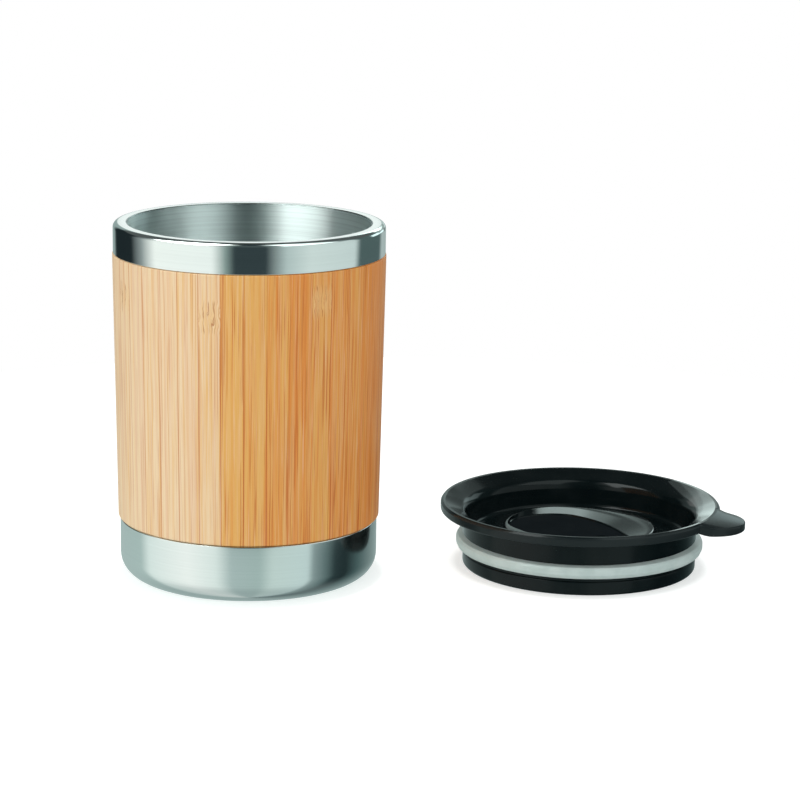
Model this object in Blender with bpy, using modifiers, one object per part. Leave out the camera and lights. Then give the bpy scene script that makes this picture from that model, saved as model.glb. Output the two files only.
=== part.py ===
"""Double-wall steel tumbler with a bamboo stave sleeve, and its push-in lid standing beside it.

Metres, +Z up. The origin is on the cup's axis at the plane it stands on, and the lid stands on the
same plane at +X. Turned pieces are profiles with a Screw modifier about their own Z axis.
"""

import math

import bmesh
import bpy

# Cup: outside
CUP_HEIGHT = 0.1122
COLLAR_HEIGHT = 0.0094
BASE_BAND_HEIGHT = 0.0189
SLEEVE_TOP_RADIUS = 0.0425
SLEEVE_TAPER = 0.0014
SLEEVE_WALL = 0.00225
SLEEVE_EDGE_ROUND = 0.0007
COLLAR_INSET = 0.00025
BASE_INSET = 0.0006
BASE_CORNER = 0.0073
STAVE_COUNT = 38
STAVE_TURN = math.radians(7.6)

# Cup: steel walls and the room between them
STEEL = 0.0005
BASE_STEEL = 0.0006
AIR_GAP = 0.0013
RIM_SHOULDER = 0.0016
RIM_LIP = 0.0005
FLOOR_GAP = 0.0034
FLOOR_CORNER = 0.0070
WALL_BOTTOM_FLANGE = 0.0035
BASE_SHOULDER_ROUND = 0.0004
BEAD_INNER = 0.0130
BEAD_OUTER = 0.0220
BEAD_DEPTH = 0.0009
BEAD_SLOPE = 0.0012

# Clearances
SEAM_GAP = 0.0002
GLUE_LINE = 0.00012
SEAT_GAP = 0.0003
PLUG_CLEARANCE = 0.0004
RUNNING_GAP = 0.0002

# Lid
LID_STANDOFF = 0.0194
LID_HEIGHT = 0.0208
FLANGE_OVERHANG = 0.0026
FLANGE_EDGE = 0.0033
FLANGE_CREST_IN = 0.0013
FLANGE_CREST_DROP = 0.0008
FLANGE_ROUND = 0.0008
WELL_WALL = 0.0020
WELL_FLOOR_Z = 0.0092
WELL_DRAFT = 0.0008
WELL_EDGE_Z = 0.0184
WELL_EDGE_ROUND = 0.0050
WELL_CORNER = 0.0015
LID_FLOOR = 0.0018
LID_SKIRT = 0.0020
PLUG_ROOT_ROUND = 0.0008
GROOVE_LIP = 0.0011
GROOVE_HEIGHT = 0.0043
GROOVE_DEPTH = 0.0018
SEAL_SQUEEZE = 0.0018
SEAL_ROUND = 0.0012
LID_BASE_HEIGHT = 0.0044
LID_BASE_FLOOR = 0.0016
LID_BASE_WALL = 0.0020
LID_BASE_ROUND = 0.0010
UPSTAND_WALL = 0.0015
CHIMNEY_WALL = 0.0012

# Lift tab on the flange
TAB_ANGLE = math.radians(-30)
TAB_RADIUS = 0.0106
TAB_REACH = 0.0097
TAB_DROP = 0.0009
TAB_THICKNESS = 0.0031
TAB_ROUND = 0.0006
TAB_ROOT = 0.0034

# Sip dial
DIAL_RADIUS = 0.0244
DIAL_THICKNESS = 0.0026
DIAL_ROUND = 0.0008
HUB_RADIUS = 0.0040
HUB_TAIL = 0.0013
HUB_ROUND = 0.0008
NECK_DEPTH = 0.0008
CLIP_THICKNESS = 0.0012
CLIP_GRIP = 0.0035
DIAL_SEAL_BORE = 0.0025
DIAL_SEAL_THICKNESS = 0.0006
DIAL_SEAL_INSET = 0.0014

# Thumb hollow and sip slot in the dial
HOLLOW_ANGLE = math.radians(-43)
HOLLOW_OFFSET = 0.0050
HOLLOW_FAR_BULGE = 0.0180
HOLLOW_NEAR_BULGE = 0.0063
HOLLOW_FAR_SLOPE = 0.0036
HOLLOW_NEAR_SLOPE = 0.0008
HOLLOW_END_SLOPE = 0.0006
HOLLOW_DEPTH = 0.0013
HOLLOW_RIM = 0.0012
SLOT_LENGTH = 0.0100
SLOT_WIDTH = 0.0064
SLOT_END = 0.0030
DIAL_TURN = math.radians(-90)
VENT_RADIUS = 0.0008
VENT_MARGIN = 0.0041
VENT_ANGLE = math.radians(25)

# Smoothness of round shapes
TURN_STEPS = 48
STAVE_STEPS = 2
FILLET_STEPS = 3
SMALL_FILLET_STEPS = 2
SMALL_FILLET = 0.0011
OUTLINE_STEPS = 10
HOLE_STEPS = 8
FILLET_SHARE = 0.49
CUT_MARGIN = 0.0020
WELD = 1e-6

# Sizes that follow from the ones above
COLLAR_Z = CUP_HEIGHT - COLLAR_HEIGHT
SLEEVE_TOP_Z = COLLAR_Z - SEAM_GAP
SLEEVE_BOTTOM_Z = BASE_BAND_HEIGHT + SEAM_GAP
COLLAR_RADIUS = SLEEVE_TOP_RADIUS - COLLAR_INSET
SLEEVE_BOTTOM_RADIUS = SLEEVE_TOP_RADIUS - SLEEVE_TAPER
BASE_RADIUS = SLEEVE_BOTTOM_RADIUS - BASE_INSET


def sleeve_outer(z):
    """Outside radius of the sleeve's cone at a height, carried on above and below it."""
    share = (z - SLEEVE_BOTTOM_Z) / (SLEEVE_TOP_Z - SLEEVE_BOTTOM_Z)
    return SLEEVE_BOTTOM_RADIUS + share * SLEEVE_TAPER


def sleeve_inner(z):
    return sleeve_outer(z) - SLEEVE_WALL


def wall_outer(z):
    return sleeve_inner(z) - SEAM_GAP


def wall_inner(z):
    return wall_outer(z) - STEEL


def liner_outer(z):
    return wall_inner(z) - AIR_GAP


def liner_inner(z):
    return liner_outer(z) - STEEL


def lowest_wall_z():
    """Height where the outer wall's end still clears the round inside corner of the base."""
    corner = BASE_CORNER - BASE_STEEL
    across = wall_outer(BASE_CORNER) + SEAT_GAP - (BASE_RADIUS - BASE_CORNER)
    return BASE_CORNER - math.sqrt(corner**2 - max(across, 0) ** 2)


WALL_BOTTOM_Z = lowest_wall_z()
FLOOR_Z = WALL_BOTTOM_Z + STEEL + FLOOR_GAP + STEEL
MOUTH_RADIUS = liner_inner(CUP_HEIGHT)
PLUG_RADIUS = MOUTH_RADIUS - PLUG_CLEARANCE
WELL_RADIUS = PLUG_RADIUS - WELL_WALL
GROOVE_RADIUS = PLUG_RADIUS - GROOVE_DEPTH
SKIRT_RADIUS = GROOVE_RADIUS - LID_SKIRT
FLANGE_RADIUS = COLLAR_RADIUS + FLANGE_OVERHANG
LID_X = max(SLEEVE_TOP_RADIUS, SLEEVE_BOTTOM_RADIUS) + LID_STANDOFF + FLANGE_RADIUS
GROOVE_Z = LID_BASE_HEIGHT + RUNNING_GAP + GROOVE_LIP
TAB_TOP_Z = LID_HEIGHT - TAB_DROP
FLANGE_Z = LID_HEIGHT - FLANGE_EDGE
FLOOR_UNDER_Z = WELL_FLOOR_Z - LID_FLOOR
DIAL_SEAL_Z = WELL_FLOOR_Z + RUNNING_GAP
DIAL_SEAL_TOP_Z = DIAL_SEAL_Z + DIAL_SEAL_THICKNESS
DIAL_Z = DIAL_SEAL_TOP_Z + RUNNING_GAP
DIAL_TOP_Z = DIAL_Z + DIAL_THICKNESS
CLIP_TOP_Z = FLOOR_UNDER_Z - SEAT_GAP
CLIP_Z = CLIP_TOP_Z - CLIP_THICKNESS
HUB_END_Z = CLIP_Z - HUB_TAIL
NECK_RADIUS = HUB_RADIUS - NECK_DEPTH
HOLLOW_REACH = math.sqrt((DIAL_RADIUS - HOLLOW_RIM) ** 2 - HOLLOW_OFFSET**2) - HOLLOW_END_SLOPE
SLOT_ALONG = HOLLOW_REACH - SLOT_END - SLOT_LENGTH / 2
VENT_PLACE = DIAL_RADIUS + VENT_MARGIN


def clear_scene():
    for obj in list(bpy.data.objects):
        bpy.data.objects.remove(obj, do_unlink=True)


def new_collection(name):
    collection = bpy.data.collections.new(name)
    bpy.context.scene.collection.children.link(collection)
    return collection


def principled(name, color, roughness, metallic=0.0):
    material = bpy.data.materials.new(name)
    material.use_nodes = True
    shader = material.node_tree.nodes["Principled BSDF"]
    shader.inputs["Base Color"].default_value = (*color, 1.0)
    shader.inputs["Roughness"].default_value = roughness
    shader.inputs["Metallic"].default_value = metallic
    return material


def filleted(corners, closed):
    """Points of an outline whose corners (x, y, radius) are rounded with short arcs."""
    points = []
    count = len(corners)
    for index, (x, y, radius) in enumerate(corners):
        at_end = index in (0, count - 1) and not closed
        if at_end or radius <= 0:
            points.append((x, y))
            continue
        before = corners[index - 1]
        after = corners[(index + 1) % count]
        points += corner_arc((before[0], before[1]), (x, y), (after[0], after[1]), radius)
    return points


def corner_arc(before, corner, after, radius):
    """Arc of a radius that rounds the corner between two other points."""
    to_before = math.atan2(before[1] - corner[1], before[0] - corner[0])
    to_after = math.atan2(after[1] - corner[1], after[0] - corner[0])
    opening = (to_after - to_before + math.pi) % (2 * math.pi) - math.pi
    half = abs(opening) / 2
    middle = to_before + opening / 2
    room = min(math.dist(before, corner), math.dist(corner, after)) * FILLET_SHARE
    radius = min(radius, room * math.tan(half))
    reach = radius / math.sin(half)
    centre = (corner[0] + reach * math.cos(middle), corner[1] + reach * math.sin(middle))
    sweep = math.copysign(math.pi - 2 * half, -opening)
    start = middle + math.pi - sweep / 2
    steps = SMALL_FILLET_STEPS if radius < SMALL_FILLET else FILLET_STEPS
    angles = [start + sweep * step / steps for step in range(steps + 1)]
    return [(centre[0] + radius * math.cos(a), centre[1] + radius * math.sin(a)) for a in angles]


def add_object(name, mesh, material, collection, parent=None):
    obj = bpy.data.objects.new(name, mesh)
    obj.data.materials.append(material)
    obj.parent = parent
    collection.objects.link(obj)
    return obj


def turned(name, corners, material, collection, parent=None, closed=False):
    """Solid of revolution about Z from corners (radius, height, fillet) that run down its outside."""
    points = filleted(corners, closed)
    count = len(points)
    edges = [(i, i + 1) for i in range(count - 1)]
    if closed:
        edges.append((count - 1, 0))
    mesh = bpy.data.meshes.new(name)
    mesh.from_pydata([(r, 0, z) for r, z in points], edges, [])
    obj = add_object(name, mesh, material, collection, parent)
    screw = obj.modifiers.new("turn", "SCREW")
    screw.axis = "Z"
    screw.angle = 2 * math.pi
    screw.steps = TURN_STEPS
    screw.render_steps = TURN_STEPS
    screw.use_merge_vertices = True
    screw.merge_threshold = WELD
    screw.use_smooth_shade = True
    return obj


def plate(name, outline, low, high, collection, parent=None, rounding=0.0):
    """Flat solid between two heights with an outline in plan and, if asked, rounded edges."""
    curve = bpy.data.curves.new(name, "CURVE")
    curve.dimensions = "2D"
    curve.fill_mode = "BOTH"
    curve.extrude = (high - low) / 2 - rounding
    curve.bevel_depth = rounding
    curve.bevel_resolution = 1
    curve.offset = -rounding
    spline = curve.splines.new("POLY")
    spline.points.add(len(outline) - 1)
    for point, (x, y) in zip(spline.points, outline):
        point.co = (x, y, 0, 1)
    spline.use_cyclic_u = True
    guide = bpy.data.objects.new(name + "_outline", curve)
    bpy.context.scene.collection.objects.link(guide)
    graph = bpy.context.evaluated_depsgraph_get()
    mesh = bpy.data.meshes.new_from_object(guide.evaluated_get(graph))
    bpy.data.objects.remove(guide)
    shape = bmesh.new()
    shape.from_mesh(mesh)
    bmesh.ops.remove_doubles(shape, verts=shape.verts, dist=WELD)
    bmesh.ops.recalc_face_normals(shape, faces=shape.faces)
    bmesh.ops.translate(shape, verts=shape.verts, vec=(0, 0, (low + high) / 2))
    shape.to_mesh(mesh)
    shape.free()
    return add_cutter(name, mesh, collection, parent)


def lofted(name, rings, collection, parent):
    """Closed cutter through outlines of equal length, listed with their heights from low to high."""
    shape = bmesh.new()
    layers = [[shape.verts.new((x, y, z)) for x, y in outline] for outline, z in rings]
    count = len(layers[0])
    for below, above in zip(layers, layers[1:]):
        for i in range(count):
            j = (i + 1) % count
            shape.faces.new((below[i], below[j], above[j], above[i]))
    shape.faces.new(layers[0])
    shape.faces.new(layers[-1])
    bmesh.ops.recalc_face_normals(shape, faces=shape.faces)
    mesh = bpy.data.meshes.new(name)
    shape.to_mesh(mesh)
    shape.free()
    return add_cutter(name, mesh, collection, parent)


def add_cutter(name, mesh, collection, parent):
    obj = bpy.data.objects.new(name, mesh)
    obj.parent = parent
    obj.hide_render = True
    obj.display_type = "WIRE"
    collection.objects.link(obj)
    return obj


def combine(target, other, operation):
    boolean = target.modifiers.new(operation.lower(), "BOOLEAN")
    boolean.operation = operation
    boolean.solver = "EXACT"
    boolean.object = other


def turned_about_z(outline, angle):
    """An outline in plan turned about the Z axis."""
    cosine, sine = math.cos(angle), math.sin(angle)
    return [(x * cosine - y * sine, x * sine + y * cosine) for x, y in outline]


def oval(length, width, margin=0.0):
    """Outline of a straight slot with round ends, along X about the origin."""
    radius = width / 2 + margin
    straight = (length - width) / 2
    outline = []
    for end in (1, -1):
        for step in range(HOLE_STEPS + 1):
            angle = math.pi * (step / HOLE_STEPS - 0.5)
            x = straight + radius * math.cos(angle)
            outline.append((end * x, end * radius * math.sin(angle)))
    return outline


def slot_outline(turn, margin=0.0):
    """Sip slot along the hollow's length, at a turn of the dial."""
    centred = [(x + SLOT_ALONG, y - HOLLOW_OFFSET) for x, y in oval(SLOT_LENGTH, SLOT_WIDTH, margin)]
    return turned_about_z(centred, HOLLOW_ANGLE + turn)


def bulge_arc(bulge, start, end):
    """Arc between two X positions on the hollow's chord, bulging along Y by a signed height."""
    half = (end - start) / 2
    radius = (half**2 + bulge**2) / (2 * abs(bulge))
    side = math.copysign(1, bulge)
    lift = bulge - side * radius
    spread = math.atan2(abs(half), radius - abs(bulge))
    turn = math.copysign(1, half)
    points = []
    for step in range(OUTLINE_STEPS):
        angle = spread * (2 * step / OUTLINE_STEPS - 1)
        points.append((turn * radius * math.sin(angle), lift + side * radius * math.cos(angle)))
    return points


def hollow_outline(far_slope=0.0, near_slope=0.0, end_slope=0.0):
    """Lens in plan: two arcs that share their ends, at the hollow's floor or the top of its slopes."""
    reach = HOLLOW_REACH + end_slope
    far = bulge_arc(HOLLOW_FAR_BULGE + far_slope, reach, -reach)
    near = bulge_arc(-HOLLOW_NEAR_BULGE - near_slope, -reach, reach)
    return turned_about_z([(x, y - HOLLOW_OFFSET) for x, y in far + near], HOLLOW_ANGLE)


def make_liner(steel, parts):
    """Inner cup whose rim rolls over into the band above the sleeve."""
    under = CUP_HEIGHT - STEEL
    floor_under = FLOOR_Z - STEEL
    corners = [
        (0, FLOOR_Z, 0),
        (liner_inner(FLOOR_Z), FLOOR_Z, FLOOR_CORNER),
        (MOUTH_RADIUS, CUP_HEIGHT, RIM_LIP),
        (COLLAR_RADIUS, CUP_HEIGHT, RIM_SHOULDER),
        (COLLAR_RADIUS, COLLAR_Z, 0),
        (COLLAR_RADIUS - STEEL, COLLAR_Z, 0),
        (COLLAR_RADIUS - STEEL, under, RIM_SHOULDER - STEEL),
        (liner_outer(under), under, 0),
        (liner_outer(floor_under), floor_under, FLOOR_CORNER + STEEL),
        (0, floor_under, 0),
    ]
    turned("inner_liner", corners, steel, parts)


def make_outer_wall(steel, parts):
    """Second steel wall, behind the sleeve, and the disc that closes it."""
    top = CUP_HEIGHT - STEEL - SEAT_GAP
    wall = [
        (wall_outer(top), top, 0),
        (wall_outer(WALL_BOTTOM_Z), WALL_BOTTOM_Z, 0),
        (wall_inner(WALL_BOTTOM_Z), WALL_BOTTOM_Z, 0),
        (wall_inner(top), top, 0),
    ]
    turned("outer_wall", wall, steel, parts, closed=True)
    low = WALL_BOTTOM_Z
    high = low + WALL_BOTTOM_FLANGE
    radius = wall_inner(low) - SEAM_GAP
    bottom = [
        (0, low + STEEL, 0),
        (radius - STEEL, low + STEEL, STEEL),
        (radius - STEEL, high, 0),
        (radius, high, 0),
        (radius, low, 2 * STEEL),
        (0, low, 0),
    ]
    turned("wall_bottom", bottom, steel, parts)


def bead_corners(z, outward):
    """Ring bead pressed up into the base panel, listed outward or inward."""
    corners = [
        (BEAD_INNER, z, 0),
        (BEAD_INNER + BEAD_SLOPE, z + BEAD_DEPTH, 0),
        (BEAD_OUTER - BEAD_SLOPE, z + BEAD_DEPTH, 0),
        (BEAD_OUTER, z, 0),
    ]
    return corners if outward else corners[::-1]


def make_base_cap(steel, parts):
    """Steel base whose turned-in shoulder carries the sleeve and grips the outer wall."""
    top = BASE_BAND_HEIGHT
    lip = wall_outer(top) + SEAM_GAP
    inside = BASE_RADIUS - BASE_STEEL
    corners = [
        (0, BASE_STEEL, 0),
        *bead_corners(BASE_STEEL, outward=True),
        (inside, BASE_STEEL, BASE_CORNER - BASE_STEEL),
        (inside, top - BASE_STEEL, 0),
        (lip, top - BASE_STEEL, 0),
        (lip, top, 0),
        (BASE_RADIUS, top, BASE_SHOULDER_ROUND),
        (BASE_RADIUS, 0, BASE_CORNER),
        *bead_corners(0, outward=False),
        (0, 0, 0),
    ]
    turned("base_cap", corners, steel, parts)


def make_staves(bamboo, parts):
    """Bamboo strips glued edge to edge round the outer wall."""
    low, high = SLEEVE_BOTTOM_Z, SLEEVE_TOP_Z
    section = filleted(
        [
            (sleeve_outer(high), high, SLEEVE_EDGE_ROUND / 2),
            (sleeve_outer(low), low, SLEEVE_EDGE_ROUND),
            (sleeve_inner(low), low, 0),
            (sleeve_inner(high), high, 0),
        ],
        closed=True,
    )
    pitch = 2 * math.pi / STAVE_COUNT
    sweep = pitch - GLUE_LINE / SLEEVE_BOTTOM_RADIUS
    shape = bmesh.new()
    start = math.cos(sweep / 2), math.sin(-sweep / 2)
    ring = [shape.verts.new((r * start[0], r * start[1], z)) for r, z in section]
    face = shape.faces.new(ring)
    bmesh.ops.spin(
        shape,
        geom=[face, *face.edges, *face.verts],
        axis=(0, 0, 1),
        cent=(0, 0, 0),
        angle=sweep,
        steps=STAVE_STEPS,
    )
    bmesh.ops.recalc_face_normals(shape, faces=shape.faces)
    mesh = bpy.data.meshes.new("bamboo_stave")
    shape.to_mesh(mesh)
    shape.free()
    mesh.materials.append(bamboo)
    for number in range(STAVE_COUNT):
        stave = bpy.data.objects.new(f"bamboo_stave_{number + 1:02d}", mesh)
        stave.rotation_euler.z = STAVE_TURN + pitch * (number + 0.5)
        parts.objects.link(stave)


def make_lid_shell(plastic, parts, cutters, lid):
    """Flared shell with its well, seal groove, lift tab, drink hole and vent."""
    groove_top = GROOVE_Z + GROOVE_HEIGHT
    skirt_end = LID_BASE_HEIGHT + RUNNING_GAP
    hub_hole = HUB_RADIUS + RUNNING_GAP
    corners = [
        (hub_hole, WELL_FLOOR_Z, 0),
        (WELL_RADIUS, WELL_FLOOR_Z, WELL_CORNER),
        (WELL_RADIUS + WELL_DRAFT, WELL_EDGE_Z, WELL_EDGE_ROUND),
        (FLANGE_RADIUS - FLANGE_CREST_IN, LID_HEIGHT, FLANGE_ROUND),
        (FLANGE_RADIUS, LID_HEIGHT - FLANGE_CREST_DROP, FLANGE_ROUND),
        (FLANGE_RADIUS, FLANGE_Z, FLANGE_ROUND),
        (PLUG_RADIUS, FLANGE_Z, PLUG_ROOT_ROUND),
        (PLUG_RADIUS, groove_top, 0),
        (GROOVE_RADIUS, groove_top, 0),
        (GROOVE_RADIUS, GROOVE_Z, 0),
        (PLUG_RADIUS, GROOVE_Z, 0),
        (PLUG_RADIUS, skirt_end, 0),
        (SKIRT_RADIUS, skirt_end, 0),
        (SKIRT_RADIUS, FLOOR_UNDER_Z, 0),
        (hub_hole, FLOOR_UNDER_Z, 0),
    ]
    shell = turned("lid_shell", corners, plastic, parts, lid, closed=True)
    tab = plate("tab_blank", tab_outline(), TAB_TOP_Z - TAB_THICKNESS, TAB_TOP_Z, cutters, lid, TAB_ROUND)
    combine(shell, tab, "UNION")
    low, high = FLOOR_UNDER_Z - CUT_MARGIN, WELL_FLOOR_Z + CUT_MARGIN
    hole = plate("drink_hole_cut", slot_outline(DIAL_TURN), low, high, cutters, lid)
    combine(shell, hole, "DIFFERENCE")
    spot = (VENT_PLACE * math.cos(VENT_ANGLE), VENT_PLACE * math.sin(VENT_ANGLE))
    round_hole = [(spot[0] + x, spot[1] + y) for x, y in oval(2 * VENT_RADIUS, 2 * VENT_RADIUS)[::2]]
    vent = plate("vent_cut", round_hole, low, high, cutters, lid)
    combine(shell, vent, "DIFFERENCE")


def tab_outline():
    """Half-round tongue that starts inside the flange and points along the tab's direction."""
    centre = FLANGE_RADIUS + TAB_REACH - TAB_RADIUS
    root = FLANGE_RADIUS - TAB_ROOT
    angles = [math.pi * (step / (2 * OUTLINE_STEPS) - 0.5) for step in range(2 * OUTLINE_STEPS + 1)]
    outline = [(centre + TAB_RADIUS * math.cos(a), TAB_RADIUS * math.sin(a)) for a in angles]
    outline += [(root, TAB_RADIUS), (root, -TAB_RADIUS)]
    return turned_about_z(outline, TAB_ANGLE)


def make_lid_base(plastic, parts, cutters, lid):
    """Lower cover: disc, outer wall, snap upstand and the chimney under the drink hole."""
    upstand = SKIRT_RADIUS - SEAT_GAP
    upstand_top = FLOOR_UNDER_Z - SEAT_GAP
    wall = PLUG_RADIUS - LID_BASE_WALL
    corners = [
        (0, LID_BASE_FLOOR, 0),
        (upstand - UPSTAND_WALL, LID_BASE_FLOOR, 0),
        (upstand - UPSTAND_WALL, upstand_top, 0),
        (upstand, upstand_top, 0),
        (upstand, LID_BASE_FLOOR, 0),
        (wall, LID_BASE_FLOOR, 0),
        (wall, LID_BASE_HEIGHT, 0),
        (PLUG_RADIUS, LID_BASE_HEIGHT, 0),
        (PLUG_RADIUS, 0, LID_BASE_ROUND),
        (0, 0, 0),
    ]
    base = turned("lid_base", corners, plastic, parts, lid)
    around = slot_outline(DIAL_TURN, CHIMNEY_WALL)
    chimney = plate("chimney_blank", around, LID_BASE_FLOOR / 2, upstand_top, cutters, lid)
    combine(base, chimney, "UNION")
    low, high = -CUT_MARGIN, upstand_top + CUT_MARGIN
    combine(base, plate("chimney_cut", slot_outline(DIAL_TURN), low, high, cutters, lid), "DIFFERENCE")


def ring(name, inner, outer, low, high, material, collection, parent, rounding=0.0):
    """Turned ring of a rectangular section whose outer edges can be rounded."""
    corners = [(inner, high, 0), (outer, high, rounding), (outer, low, rounding), (inner, low, 0)]
    return turned(name, corners, material, collection, parent, closed=True)


def make_lid_seal(silicone, parts, lid):
    """Ring in the shell's groove, proud enough to squeeze in the cup's mouth."""
    low = GROOVE_Z + RUNNING_GAP
    high = GROOVE_Z + GROOVE_HEIGHT - RUNNING_GAP
    inner = GROOVE_RADIUS + RUNNING_GAP
    outer = MOUTH_RADIUS + SEAL_SQUEEZE
    ring("lid_seal", inner, outer, low, high, silicone, parts, lid, SEAL_ROUND)


def make_dial(plastic, silicone, parts, cutters, axle):
    """Turning closure: dial with hub, the pad under it and the clip on its neck."""
    corners = [
        (0, DIAL_TOP_Z, 0),
        (DIAL_RADIUS, DIAL_TOP_Z, DIAL_ROUND),
        (DIAL_RADIUS, DIAL_Z, 0),
        (HUB_RADIUS, DIAL_Z, 0),
        (HUB_RADIUS, CLIP_TOP_Z, 0),
        (NECK_RADIUS, CLIP_TOP_Z, 0),
        (NECK_RADIUS, CLIP_Z, 0),
        (HUB_RADIUS, CLIP_Z, 0),
        (HUB_RADIUS, HUB_END_Z, HUB_ROUND),
        (0, HUB_END_Z, 0),
    ]
    dial = turned("sip_dial", corners, plastic, parts, axle)
    high = DIAL_TOP_Z + CUT_MARGIN
    brink = hollow_outline(HOLLOW_FAR_SLOPE, HOLLOW_NEAR_SLOPE, HOLLOW_END_SLOPE)
    rings = [(hollow_outline(), DIAL_TOP_Z - HOLLOW_DEPTH), (brink, DIAL_TOP_Z), (brink, high)]
    combine(dial, lofted("hollow_cut", rings, cutters, axle), "DIFFERENCE")
    slot = plate("slot_cut", slot_outline(0), WELL_FLOOR_Z - CUT_MARGIN, high, cutters, axle)
    combine(dial, slot, "DIFFERENCE")
    bore = HUB_RADIUS + DIAL_SEAL_BORE
    edge = DIAL_RADIUS - DIAL_SEAL_INSET
    pad = ring("dial_seal", bore, edge, DIAL_SEAL_Z, DIAL_SEAL_TOP_Z, silicone, parts, axle)
    combine(pad, slot, "DIFFERENCE")
    bore, edge = NECK_RADIUS + RUNNING_GAP, HUB_RADIUS + CLIP_GRIP
    low, high = CLIP_Z + RUNNING_GAP / 2, CLIP_TOP_Z - RUNNING_GAP / 2
    ring("dial_clip", bore, edge, low, high, plastic, parts, axle)


def empty(name, collection, place, parent=None):
    holder = bpy.data.objects.new(name, None)
    holder.location = place
    holder.parent = parent
    collection.objects.link(holder)
    return holder


def main():
    clear_scene()
    parts = new_collection("bamboo_tumbler")
    cutters = new_collection("cutters")
    steel = principled("brushed_steel", (0.62, 0.65, 0.65), 0.28, 1.0)
    bamboo = principled("bamboo", (0.68, 0.40, 0.15), 0.5)
    plastic = principled("black_plastic", (0.014, 0.016, 0.017), 0.42)
    silicone = principled("pale_silicone", (0.50, 0.56, 0.55), 0.5)
    make_liner(steel, parts)
    make_outer_wall(steel, parts)
    make_base_cap(steel, parts)
    make_staves(bamboo, parts)
    lid = empty("lid_axis", parts, (LID_X, 0, 0))
    make_lid_shell(plastic, parts, cutters, lid)
    make_lid_base(plastic, parts, cutters, lid)
    make_lid_seal(silicone, parts, lid)
    axle = empty("dial_axis", parts, (0, 0, 0), lid)
    make_dial(plastic, silicone, parts, cutters, axle)


main()
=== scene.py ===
"""A steel tumbler in a bamboo stave sleeve, with its push-in lid beside it, dressed for a plain studio.

Sizes are in millimetres and heights are above the table. Each lid piece is measured from the lid's axis.
"""

import logging
import math
import random
from dataclasses import dataclass, field, replace
from enum import Enum
from typing import Any, Mapping, Sequence, Union

import bmesh
import bpy
from mathutils import Matrix, Vector


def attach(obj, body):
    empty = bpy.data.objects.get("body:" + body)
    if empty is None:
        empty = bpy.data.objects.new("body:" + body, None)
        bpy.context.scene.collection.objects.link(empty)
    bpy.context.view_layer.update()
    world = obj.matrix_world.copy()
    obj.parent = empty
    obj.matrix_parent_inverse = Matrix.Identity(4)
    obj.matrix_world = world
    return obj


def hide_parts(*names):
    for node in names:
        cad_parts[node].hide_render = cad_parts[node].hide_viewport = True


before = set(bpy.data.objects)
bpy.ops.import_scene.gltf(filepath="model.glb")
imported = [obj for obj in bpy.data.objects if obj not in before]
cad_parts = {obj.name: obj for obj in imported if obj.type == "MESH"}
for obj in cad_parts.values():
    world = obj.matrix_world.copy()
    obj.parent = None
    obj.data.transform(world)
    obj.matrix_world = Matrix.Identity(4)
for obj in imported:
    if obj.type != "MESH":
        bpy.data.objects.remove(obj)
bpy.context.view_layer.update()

MM = 0.001  # a millimetre in metres
TURN = 2 * math.pi
LID_X = 106.75  # where the lid's axis stands
WELD = 1e-7  # corners closer than this are one, in metres
CRISP = 32.0  # edges that bend more than this stay crisp, in degrees
STRAIGHT = 1e-4  # a bend smaller than this counts as none, in radians

Point = tuple[float, float]
Triple = tuple[float, float, float]
Colour = tuple[float, float, float, float]
Stop = tuple[float, Triple]
Value = Union["Term", float, Sequence[float]]

log = logging.getLogger("tumbler")


class Body(Enum):
    """The bodies of the part's joint tree."""

    CUP = "cup"
    LID = "lid"
    DIAL = "dial"


class Slot(Enum):
    """The record's material slots."""

    STEEL = "brushed_steel"
    BAMBOO = "bamboo"
    PLASTIC = "black_plastic"
    SILICONE = "pale_silicone"


def srgb(red: float, green: float, blue: float) -> Colour:
    """Turn a colour of 0 to 255 as a screen shows it into a linear one.

    Args:
        red: Red, 0 to 255.
        green: Green, 0 to 255.
        blue: Blue, 0 to 255.

    Returns:
        The linear colour with full alpha.
    """
    shares = (channel / 255 for channel in (red, green, blue))
    linear = [s / 12.92 if s <= 0.04045 else ((s + 0.055) / 1.055) ** 2.4 for s in shares]
    return linear[0], linear[1], linear[2], 1.0


def smooth(low: float, high: float, value: float) -> float:
    """Rise softly from 0 to 1.

    Args:
        low: Where the rise starts.
        high: Where it ends.
        value: Where it is read.

    Returns:
        The height of the rise there.
    """
    share = min(max((value - low) / (high - low), 0.0), 1.0)
    return share * share * (3 - 2 * share)


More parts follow.
